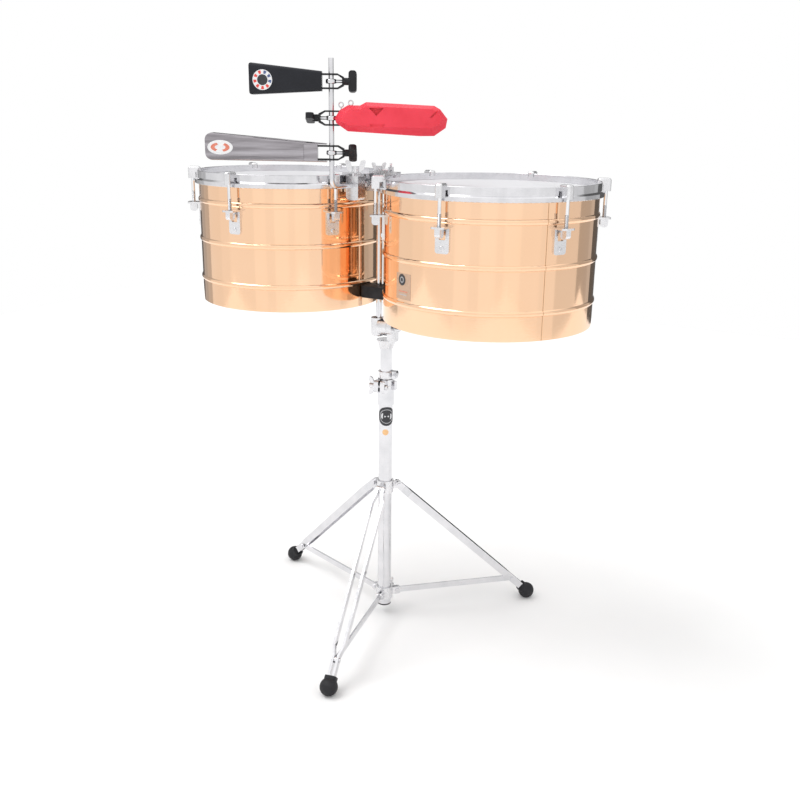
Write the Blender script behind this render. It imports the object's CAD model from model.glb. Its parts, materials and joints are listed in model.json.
import json
from math import atan2, cos, pi, radians, sin

import bmesh
import bpy
from mathutils import Matrix, Vector

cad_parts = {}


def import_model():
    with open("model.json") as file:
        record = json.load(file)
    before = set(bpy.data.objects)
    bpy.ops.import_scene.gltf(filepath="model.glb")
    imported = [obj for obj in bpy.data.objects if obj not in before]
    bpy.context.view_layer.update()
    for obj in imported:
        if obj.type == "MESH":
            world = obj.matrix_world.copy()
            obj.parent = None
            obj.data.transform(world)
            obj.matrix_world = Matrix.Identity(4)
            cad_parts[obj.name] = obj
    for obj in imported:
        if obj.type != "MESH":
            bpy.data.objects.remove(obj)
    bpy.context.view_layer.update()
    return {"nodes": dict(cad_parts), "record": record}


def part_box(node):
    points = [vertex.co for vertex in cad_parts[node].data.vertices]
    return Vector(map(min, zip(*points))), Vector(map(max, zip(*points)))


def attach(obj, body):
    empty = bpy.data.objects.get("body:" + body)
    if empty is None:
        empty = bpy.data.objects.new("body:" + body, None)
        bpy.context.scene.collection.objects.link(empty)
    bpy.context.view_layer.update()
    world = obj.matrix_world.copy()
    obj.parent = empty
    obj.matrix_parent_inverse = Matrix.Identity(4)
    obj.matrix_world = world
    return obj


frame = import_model()
nodes = frame["nodes"]

# Metres, in the frame of the CAD. The origin is on the floor, on the axis of the stand's tube.
ROD = Vector((-0.042, -0.140, 0.0))          # axis of the bells' rod
BELL_DIR = radians(-151.5)                   # the bells' mouths point this way
LARGE_CENTRE = Vector((0.2252, 0.0, 0.0))
LARGE_R = 0.2032
TUBE_R = 0.015
THREAD_LOW, THREAD_HIGH = 0.9110, 0.9330     # threaded part of the tension rods
THREAD_PITCH = 0.00125

CAMERA_AT = (0.9453, -1.6751, 1.0985)
CAMERA_YAW, CAMERA_PITCH, CAMERA_ROLL = 0.498, 0.2981, 0.0129
CAMERA_LENS = 42.22
FLOOR_HALF = 3.4

STICKER_GAP = 0.00005                        # air between a sticker and the surface under it
BLACK_BELL_LEVEL = 1.1511                    # middle of the black bell's round sticker
CHROME_BELL_LEVEL = 1.0314                   # middle of the chrome bell's oval sticker
BADGE_LEVEL, DOT_LEVEL = 0.4746, 0.439       # on the stand's tube
LABEL_AZIMUTH, LABEL_LEVEL = radians(-115.5), 0.794
LABEL_HALF_U, LABEL_HALF_V = 0.0215, 0.024
LABEL_LINE_W = 0.0016
SEAM_AZIMUTH, SEAM_HALF_W, SEAM_THICK = radians(-37.5), 0.0005, 0.00018
SEAM_FOOT, SEAM_TOP, SEAM_STEPS = 0.0004, 0.9530, 120
BEADS = (0.7604, 0.8409, 0.9201)             # levels of the larger shell's rolled rings
BEAD_HALF, BEAD_OUT = 0.005, 0.0026


# ---- Camera, floor and light ---------------------------------------------------------------

def camera():
    yaw, pitch, roll = CAMERA_YAW, CAMERA_PITCH, CAMERA_ROLL
    forward = Vector((-sin(yaw) * cos(pitch), cos(yaw) * cos(pitch), -sin(pitch)))
    level = Vector((cos(yaw), sin(yaw), 0.0))
    upright = level.cross(forward)
    right = level * cos(roll) + upright * sin(roll)
    up = upright * cos(roll) - level * sin(roll)
    data = bpy.data.cameras.new("camera")
    data.lens = CAMERA_LENS
    data.sensor_width = 36.0
    data.clip_end = 60.0
    obj = bpy.data.objects.new("camera", data)
    bpy.context.scene.collection.objects.link(obj)
    turn = Matrix((right, up, -forward)).transposed().to_4x4()
    obj.matrix_world = Matrix.Translation(CAMERA_AT) @ turn
    bpy.context.scene.camera = obj


def sun(name, direction, strength, angle):
    data = bpy.data.lights.new(name, "SUN")
    data.energy = strength
    data.angle = radians(angle)
    obj = bpy.data.objects.new(name, data)
    bpy.context.scene.collection.objects.link(obj)
    obj.rotation_euler = Vector(direction).to_track_quat("-Z", "Y").to_euler()


# Brightness of the studio by direction, anticlockwise from +X: (to this many degrees, level).
BANDS = [(-155, 0.90), (-140, 0.94), (-104, 0.98), (-88, 1.05), (-76, 1.0), (-60, 1.07), (-52, 1.02),
         (-34, 1.07), (-12, 1.0), (8, 0.95), (40, 0.80), (62, 0.48), (74, 0.55), (100, 0.12), (124, 0.70),
         (150, 0.12), (165, 0.45), (180, 0.55)]
OVERHEAD = 1.2                               # level of the studio's ceiling


def world():
    """Pale studio in upright bands of different brightness, plain white behind the object."""
    studio = bpy.data.worlds.new("studio")
    bpy.context.scene.world = studio
    studio.use_nodes = True
    n, l = studio.node_tree.nodes, studio.node_tree.links
    n.clear()
    coords = n.new("ShaderNodeTexCoord")
    split = n.new("ShaderNodeSeparateXYZ")
    l.new(coords.outputs["Generated"], split.inputs[0])
    angle = n.new("ShaderNodeMath")
    angle.operation = "ARCTAN2"
    l.new(split.outputs["Y"], angle.inputs[0])
    l.new(split.outputs["X"], angle.inputs[1])
    share = n.new("ShaderNodeMapRange")
    share.inputs["From Min"].default_value = -pi
    share.inputs["From Max"].default_value = pi
    l.new(angle.outputs[0], share.inputs["Value"])
    ramp = n.new("ShaderNodeValToRGB")
    ramp.color_ramp.interpolation = "CONSTANT"
    elements = ramp.color_ramp.elements
    elements.remove(elements[1])
    start = 0.0
    for i, (end, level) in enumerate(BANDS):
        element = elements[0] if i == 0 else elements.new(start)
        element.position = start
        element.color = (level, level, level, 1)
        start = (end + 180) / 360
    l.new(share.outputs["Result"], ramp.inputs["Fac"])
    high = n.new("ShaderNodeMapRange")
    high.inputs["From Min"].default_value = 0.55
    high.inputs["From Max"].default_value = 0.75
    l.new(split.outputs["Z"], high.inputs["Value"])
    mix = n.new("ShaderNodeMix")
    mix.data_type = "RGBA"
    l.new(high.outputs["Result"], mix.inputs["Factor"])
    l.new(ramp.outputs["Color"], mix.inputs[6])
    mix.inputs[7].default_value = (OVERHEAD, OVERHEAD, OVERHEAD, 1)
    seen = n.new("ShaderNodeBackground")
    seen.inputs["Color"].default_value = (1, 1, 1, 1)
    lit = n.new("ShaderNodeBackground")
    l.new(mix.outputs[2], lit.inputs["Color"])
    path = n.new("ShaderNodeLightPath")
    pick = n.new("ShaderNodeMixShader")
    l.new(path.outputs["Is Camera Ray"], pick.inputs["Fac"])
    l.new(lit.outputs[0], pick.inputs[1])
    l.new(seen.outputs[0], pick.inputs[2])
    out = n.new("ShaderNodeOutputWorld")
    l.new(pick.outputs[0], out.inputs["Surface"])


# ---- Materials -----------------------------------------------------------------------------

class Mat:
    """A Principled material and short ways to wire its texture nodes."""

    def __init__(self, name, **constants):
        self.mat = bpy.data.materials.new(name)
        self.mat.use_nodes = True
        self.nodes = self.mat.node_tree.nodes
        self.links = self.mat.node_tree.links
        self.shader = self.nodes["Principled BSDF"]
        self.coords = self.nodes.new("ShaderNodeTexCoord").outputs["Object"]
        for socket, value in constants.items():
            self.shader.inputs[socket.replace("_", " ")].default_value = value

    def stretched(self, scale, turn=(0, 0, 0), source=None):
        mapping = self.nodes.new("ShaderNodeMapping")
        mapping.inputs["Scale"].default_value = scale
        mapping.inputs["Rotation"].default_value = turn
        self.links.new(source or self.coords, mapping.inputs["Vector"])
        return mapping.outputs[0]

    def noise(self, scale, detail=3.0, rough=0.5, vector=None):
        tex = self.nodes.new("ShaderNodeTexNoise")
        tex.inputs["Scale"].default_value = scale
        tex.inputs["Detail"].default_value = detail
        tex.inputs["Roughness"].default_value = rough
        self.links.new(vector or self.coords, tex.inputs["Vector"])
        return tex.outputs["Fac"]

    def ramp(self, fac, *stops):
        node = self.nodes.new("ShaderNodeValToRGB")
        first, last = node.color_ramp.elements
        first.position, first.color = stops[0][0], stops[0][1] + (1,)
        last.position, last.color = stops[-1][0], stops[-1][1] + (1,)
        for place, colour in stops[1:-1]:
            node.color_ramp.elements.new(place).color = colour + (1,)
        self.links.new(fac, node.inputs["Fac"])
        return node.outputs["Color"]

    def span(self, fac, low, high, start=0.3, end=0.7):
        node = self.nodes.new("ShaderNodeMapRange")
        node.inputs["From Min"].default_value = start
        node.inputs["From Max"].default_value = end
        node.inputs["To Min"].default_value = low
        node.inputs["To Max"].default_value = high
        self.links.new(fac, node.inputs["Value"])
        return node.outputs["Result"]

    def math(self, kind, a, b):
        node = self.nodes.new("ShaderNodeMath")
        node.operation = kind
        for i, v in enumerate((a, b)):
            if isinstance(v, (int, float)):
                node.inputs[i].default_value = v
            else:
                self.links.new(v, node.inputs[i])
        return node.outputs[0]

    def mix(self, fac, a, b):
        node = self.nodes.new("ShaderNodeMix")
        node.data_type = "RGBA"
        self.links.new(fac, node.inputs["Factor"])
        for socket, v in ((node.inputs[6], a), (node.inputs[7], b)):
            if isinstance(v, tuple):
                socket.default_value = v + (1,)
            else:
                self.links.new(v, socket)
        return node.outputs[2]

    def axis(self, name):
        node = self.nodes.new("ShaderNodeSeparateXYZ")
        self.links.new(self.coords, node.inputs[0])
        return node.outputs[name]

    def colour(self, socket):
        self.links.new(socket, self.shader.inputs["Base Color"])
        return self

    def roughness(self, socket):
        self.links.new(socket, self.shader.inputs["Roughness"])
        return self

    def bump(self, height, strength, distance):
        node = self.nodes.new("ShaderNodeBump")
        node.inputs["Strength"].default_value = strength
        node.inputs["Distance"].default_value = distance
        self.links.new(height, node.inputs["Height"])
        before = self.shader.inputs["Normal"]
        if before.is_linked:
            self.links.new(before.links[0].from_socket, node.inputs["Normal"])
        self.links.new(node.outputs[0], before)
        return self


def bronze():
    m = Mat("bronze_polished", Metallic=1.0)
    fine = m.noise(1.0, 4, 0.6, m.stretched((60, 60, 900)))
    large = m.noise(7, 2)
    m.colour(m.ramp(large, (0.3, (0.955, 0.625, 0.405)), (0.7, (0.975, 0.655, 0.440))))
    m.roughness(m.span(fine, 0.045, 0.11))
    m.bump(m.noise(9, 1), 0.05, 0.004)
    return m.bump(fine, 0.03, 0.0004).mat


def chrome(name="chrome_plate", light=(0.77, 0.765, 0.785), dark=(0.67, 0.67, 0.69), rough=(0.06, 0.14)):
    m = Mat(name, Metallic=1.0)
    cloud = m.noise(28, 4, 0.6)
    m.colour(m.ramp(cloud, (0.32, dark), (0.62, light)))
    m.roughness(m.span(m.noise(160, 3), *rough))
    return m.bump(m.noise(420, 2), 0.05, 0.0002).mat


def threaded(name, low, high):
    """Chrome rod whose part between two heights carries a thread."""
    m = Mat(name, Metallic=1.0)
    z = m.axis("Z")
    inside = m.math("MULTIPLY", m.math("GREATER_THAN", z, low), m.math("LESS_THAN", z, high))
    wave = m.math("SINE", m.math("MULTIPLY", z, 2 * pi / THREAD_PITCH), 0)
    groove = m.math("MULTIPLY", wave, inside)
    cloud = m.ramp(m.noise(40, 3), (0.3, (0.80, 0.81, 0.83)), (0.65, (0.90, 0.905, 0.92)))
    m.colour(m.mix(inside, cloud, (0.50, 0.51, 0.53)))
    m.roughness(m.span(m.noise(160, 3), 0.06, 0.14))
    return m.bump(groove, 0.6, 0.0005).mat


def bell_chrome():
    m = Mat("bell_chrome_streaked", Metallic=1.0)
    turned = m.stretched((1, 1, 1), (0, 0, -BELL_DIR))
    streak = m.noise(1.0, 4, 0.55, m.stretched((5, 60, 110), source=turned))
    m.colour(m.ramp(streak, (0.30, (0.15, 0.14, 0.15)), (0.48, (0.34, 0.32, 0.34)),
                    (0.72, (0.50, 0.48, 0.51))))
    m.roughness(m.span(streak, 0.10, 0.24))
    return m.bump(streak, 0.10, 0.0006).mat


def bell_black():
    m = Mat("bell_satin_slate", Coat_Weight=0.15, Coat_Roughness=0.25, Specular_IOR_Level=0.25)
    spots = m.noise(900, 3, 0.6)
    m.colour(m.ramp(m.noise(22, 3), (0.3, (0.006, 0.007, 0.011)), (0.7, (0.012, 0.013, 0.019))))
    m.roughness(m.span(spots, 0.33, 0.50))
    return m.bump(spots, 0.18, 0.0003).mat


def red_plastic():
    m = Mat("block_red_plastic", Coat_Weight=0.1, Coat_Roughness=0.35, Subsurface_Weight=0.12,
            Subsurface_Scale=0.004)
    grain = m.noise(700, 3, 0.6)
    m.colour(m.ramp(m.noise(18, 4, 0.6), (0.28, (0.79, 0.022, 0.050)), (0.72, (0.91, 0.045, 0.082))))
    m.roughness(m.span(grain, 0.34, 0.52))
    m.bump(m.noise(60, 2), 0.06, 0.001)
    return m.bump(grain, 0.25, 0.0003).mat


def film():
    m = Mat("head_frosted_film", Coat_Weight=0.15, Coat_Roughness=0.35)
    grit = m.noise(1600, 2, 0.7)
    m.colour(m.ramp(m.noise(6, 4, 0.6), (0.3, (0.66, 0.66, 0.68)), (0.7, (0.73, 0.73, 0.75))))
    m.roughness(m.span(grit, 0.42, 0.62))
    return m.bump(grit, 0.25, 0.0002).mat


def black(name, light, dark, rough, grain, strength, depth):
    m = Mat(name, Specular_IOR_Level=0.22)
    spots = m.noise(grain, 3, 0.6)
    m.colour(m.ramp(m.noise(45, 4, 0.6), (0.3, dark), (0.7, light)))
    m.roughness(m.span(spots, *rough))
    return m.bump(spots, strength, depth).mat


def paper(name, light, dark, rough=(0.35, 0.5), metallic=0.0):
    m = Mat(name, Metallic=metallic, Coat_Weight=0.3, Coat_Roughness=0.15)
    m.colour(m.ramp(m.noise(300, 3), (0.3, dark), (0.7, light)))
    m.roughness(m.span(m.noise(900, 2), *rough))
    return m.bump(m.noise(1500, 2), 0.05, 0.0001).mat


# ---- Small pieces in mesh code -------------------------------------------------------------

def add_piece(name, verts, faces, mats, body, face_mats=None):
    mesh = bpy.data.meshes.new(name)
    mesh.from_pydata([tuple(v) for v in verts], [], faces)
    for mat in mats:
        mesh.materials.append(mat)
    for polygon, kind in zip(mesh.polygons, face_mats or ()):
        polygon.material_index = kind
    bm = bmesh.new()
    bm.from_mesh(mesh)
    bmesh.ops.recalc_face_normals(bm, faces=bm.faces)
    bm.to_mesh(mesh)
    bm.free()
    obj = bpy.data.objects.new(name, mesh)
    bpy.context.scene.collection.objects.link(obj)
    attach(obj, body)


def patch(name, place, rings, sectors, colour_of, mats, body, thick=0.00025):
    """A thin closed sticker, round or oval.

    rings are its half-axes (a, b) from the middle out, and place maps (u, v, lift) to a point.
    """
    verts, faces, kinds = [], [], []
    for lift in (thick, 0.0):
        verts.append(place(0.0, 0.0, lift))
        for a, b in rings:
            for k in range(sectors):
                verts.append(place(a * cos(2 * pi * k / sectors), b * sin(2 * pi * k / sectors), lift))
    layer = 1 + len(rings) * sectors
    for side in (0, 1):
        base = side * layer
        for k in range(sectors):
            after = (k + 1) % sectors
            faces.append((base, base + 1 + k, base + 1 + after))
            kinds.append(colour_of(0, k))
            for r in range(1, len(rings)):
                inner, outer = base + 1 + (r - 1) * sectors, base + 1 + r * sectors
                faces.append((inner + k, outer + k, outer + after, inner + after))
                kinds.append(colour_of(r, k))
    rim = 1 + (len(rings) - 1) * sectors
    for k in range(sectors):
        after = (k + 1) % sectors
        faces.append((rim + k, rim + after, layer + rim + after, layer + rim + k))
        kinds.append(colour_of(len(rings) - 1, k))
    add_piece(name, verts, faces, mats, body, kinds)


def on_bell(distance, level, half_depth, slope):
    """A map onto the side of a bell that faces the camera, u towards the mouth and v up."""
    along = Vector((cos(BELL_DIR), sin(BELL_DIR), 0))
    out = Vector((-along.y, along.x, 0))
    u_dir = (along + out * slope).normalized()
    normal = (out - along * slope).normalized()
    centre = ROD + along * distance + out * half_depth + Vector((0, 0, level))
    return lambda u, v, lift: centre + u_dir * u + Vector((0, 0, v)) + normal * (lift + STICKER_GAP)


def on_cylinder(centre, radius, azimuth, level):
    """A map onto an upright cylinder, u round it and v up."""
    def place(u, v, lift):
        angle = azimuth + u / radius
        r = radius + lift + STICKER_GAP
        return Vector((centre[0] + r * cos(angle), centre[1] + r * sin(angle), level + v))
    return place


def stickers(m):
    """The bells' stickers and the two on the stand's tube, all plain shapes."""
    def ring_colours(r, k):
        if r == 0:
            return 0
        if r in (1, 3):
            return 1
        return (3 if 9 <= k < 20 else 2) if (k // 2) % 2 else 1
    patch("black_bell_sticker", on_bell(0.124, BLACK_BELL_LEVEL, 0.0173, 0.0494),
          [(0.0095, 0.0095), (0.0108, 0.0108), (0.0165, 0.0165), (0.0178, 0.0178)], 36, ring_colours,
          [m["dark"], m["white"], m["red"], m["blue"]], "black_bell_set")

    def oval_colours(r, k):
        return 1 if r == 1 and not (6 < k < 12 or 24 < k < 30) else 0
    patch("chrome_bell_label", on_bell(0.206, CHROME_BELL_LEVEL, 0.01815, 0.0333),
          [(0.010, 0.0045), (0.0175, 0.0085), (0.0235, 0.0130)], 36, oval_colours,
          [m["white"], m["faded_red"]], "chrome_bell_set")

    def badge_colours(r, k):
        return 1 if r == 2 else 0
    facing = atan2(CAMERA_AT[1], CAMERA_AT[0])
    patch("tube_badge", on_cylinder((0, 0), TUBE_R, facing + 0.14, BADGE_LEVEL),
          [(0.007, 0.007), (0.0145, 0.0145), (0.0158, 0.0158), (0.0212, 0.0212)], 48, badge_colours,
          [m["dark"], m["grey"]], "stand")
    patch("tube_dot", on_cylinder((0, 0), TUBE_R, facing - 0.02, DOT_LEVEL),
          [(0.004, 0.004), (0.0068, 0.0068)], 24, lambda r, k: 0, [m["peach"]], "stand")


def rows(name, place, u_range, v_range, steps, mat, body, thick=0.0002):
    """A thin closed sheet on a curved surface, with straight edges along u and v."""
    verts, faces = [], []
    for lift in (thick, 0.0):
        for v in v_range:
            for i in range(steps + 1):
                u = u_range[0] + (u_range[1] - u_range[0]) * i / steps
                verts.append(place(u, v, lift))
    row, layer = steps + 1, (steps + 1) * len(v_range)
    for base in (0, layer):
        for j in range(len(v_range) - 1):
            for i in range(steps):
                a = base + j * row + i
                faces.append((a, a + 1, a + 1 + row, a + row))
    top = (len(v_range) - 1) * row
    for i in range(steps):
        faces.append((i, i + 1, layer + i + 1, layer + i))
        faces.append((top + i, top + i + 1, layer + top + i + 1, layer + top + i))
    for j in range(len(v_range) - 1):
        for i in (j * row, j * row + steps):
            faces.append((i, i + row, layer + i + row, layer + i))
    add_piece(name, verts, faces, [mat], body)


def shell_details(m):
    """Label on the larger shell and the seam that runs down it, over the rolled rings."""
    label = on_cylinder(LARGE_CENTRE, LARGE_R, LABEL_AZIMUTH, LABEL_LEVEL)
    rows("shell_label", label, (-LABEL_HALF_U, LABEL_HALF_U), (-LABEL_HALF_V, LABEL_HALF_V), 16,
         m["label"], "drum_carrier")

    def above(u, v, lift):
        return label(u, v, lift + 0.0003)

    def mark(u, v, lift):
        return above(u - 0.0035, v + 0.012, lift)
    patch("shell_label_mark", mark, [(0.004, 0.004), (0.0055, 0.0055), (0.0105, 0.0105)], 36,
          lambda r, k: 1 if r == 1 else 0, [m["dark"], m["grey"]], "drum_carrier")
    lines = ((-0.010, 0.026, "faded_red"), (-0.016, 0.022, "grey"))
    for i, (v, length, ink) in enumerate(lines):
        rows(f"shell_label_line_{i}", above, (-length / 2, length / 2), (v, v + LABEL_LINE_W), 12, m[ink],
             "drum_carrier")

    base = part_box("shell_large")[0].z
    levels = [base + SEAM_FOOT + (SEAM_TOP - base) * i / SEAM_STEPS for i in range(SEAM_STEPS + 1)]

    def seam(u, v, lift):
        bulge = 0.0
        for bead in BEADS:
            t = (v - bead) / BEAD_HALF
            if abs(t) < 1:
                bulge = BEAD_OUT * (1 - t * t)
        angle = SEAM_AZIMUTH + u / LARGE_R
        r = LARGE_R + bulge + lift
        return Vector((LARGE_CENTRE.x + r * cos(angle), r * sin(angle), v))
    rows("shell_seam", seam, (-SEAM_HALF_W, SEAM_HALF_W), levels, 2, m["seam"], "drum_carrier",
         SEAM_THICK)


# ---- Build ---------------------------------------------------------------------------------

camera()
world()
bpy.context.scene.view_settings.view_transform = "Standard"
sun("key", (0.9, 0.5, -1.7), 1.05, 34)

CHROME = chrome()
CAST = chrome("chrome_cast", (0.80, 0.795, 0.81), (0.70, 0.70, 0.715), (0.20, 0.34))
CAST_NODES = ("hoop_claws", "lugs", "tension_nuts", "rod_clamp_body", "rod_clamp_jaw", "rim_clamp_body",
              "rim_clamp_jaws", "tilter_base", "tilter_head", "memory_lock", "leg_bracket", "brace_collar")
THREAD = threaded("chrome_threaded", THREAD_LOW, THREAD_HIGH)
finishes = {
    "bronze": bronze(), "chrome": CHROME, "chrome_bell_plate": bell_chrome(), "film": film(),
    "flesh_steel": chrome("flesh_hoop_metal", (0.76, 0.76, 0.77), (0.60, 0.60, 0.62), (0.25, 0.4)),
    "black_rubber": black("rubber_black", (0.030, 0.030, 0.033), (0.012, 0.012, 0.014), (0.45, 0.65),
                          900, 0.35, 0.0004),
    "black_nylon": black("nylon_black", (0.030, 0.030, 0.032), (0.015, 0.015, 0.016), (0.35, 0.5),
                         700, 0.15, 0.0002),
    "black_plastic": black("plastic_black", (0.022, 0.022, 0.025), (0.010, 0.010, 0.012), (0.28, 0.42),
                           800, 0.2, 0.0002),
    "black_powder_coat": black("powder_coat_black", (0.028, 0.028, 0.031), (0.012, 0.012, 0.014),
                               (0.35, 0.55), 1400, 0.4, 0.0002),
    "slate_paint": bell_black(), "red_plastic": red_plastic()}
slot_of = {part["node"]: part["material_slot"] for part in frame["record"]["subparts"]}
for name, obj in nodes.items():
    mat = finishes[slot_of[name]]
    if name == "tension_rods":
        mat = THREAD
    elif name in CAST_NODES or "wing_screw" in name:
        mat = CAST
    obj.data.materials.clear()
    obj.data.materials.append(mat)

small = {
    "dark": paper("print_dark", (0.020, 0.022, 0.028), (0.010, 0.011, 0.014)),
    "white": paper("print_white", (0.86, 0.86, 0.86), (0.76, 0.76, 0.77)),
    "red": paper("print_red", (0.80, 0.07, 0.05), (0.66, 0.04, 0.03)),
    "blue": paper("print_blue", (0.10, 0.15, 0.32), (0.06, 0.09, 0.22)),
    "faded_red": paper("print_faded_red", (0.78, 0.25, 0.16), (0.62, 0.16, 0.10)),
    "grey": paper("print_grey", (0.55, 0.55, 0.57), (0.40, 0.40, 0.42)),
    "peach": paper("print_peach", (0.93, 0.58, 0.28), (0.86, 0.50, 0.22)),
    "label": paper("label_film", (0.62, 0.42, 0.29), (0.52, 0.34, 0.23), (0.25, 0.4), 0.4),
    "seam": paper("seam_solder", (0.62, 0.33, 0.15), (0.48, 0.24, 0.10), (0.2, 0.35), 1.0)}
stickers(small)
shell_details(small)

floor_mat = Mat("floor_pale", Roughness=0.7)
floor_mat.colour(floor_mat.ramp(floor_mat.noise(3, 3),
                                (0.3, (0.90, 0.90, 0.90)), (0.7, (0.93, 0.93, 0.93))))
floor_mesh = bpy.data.meshes.new("floor")
corners = [(x * FLOOR_HALF, y * FLOOR_HALF, 0) for x, y in ((-1, -1), (1, -1), (1, 1), (-1, 1))]
floor_mesh.from_pydata(corners, [], [(0, 1, 2, 3)])
floor_mesh.materials.append(floor_mat.mat)
floor = bpy.data.objects.new("floor", floor_mesh)
bpy.context.scene.collection.objects.link(floor)
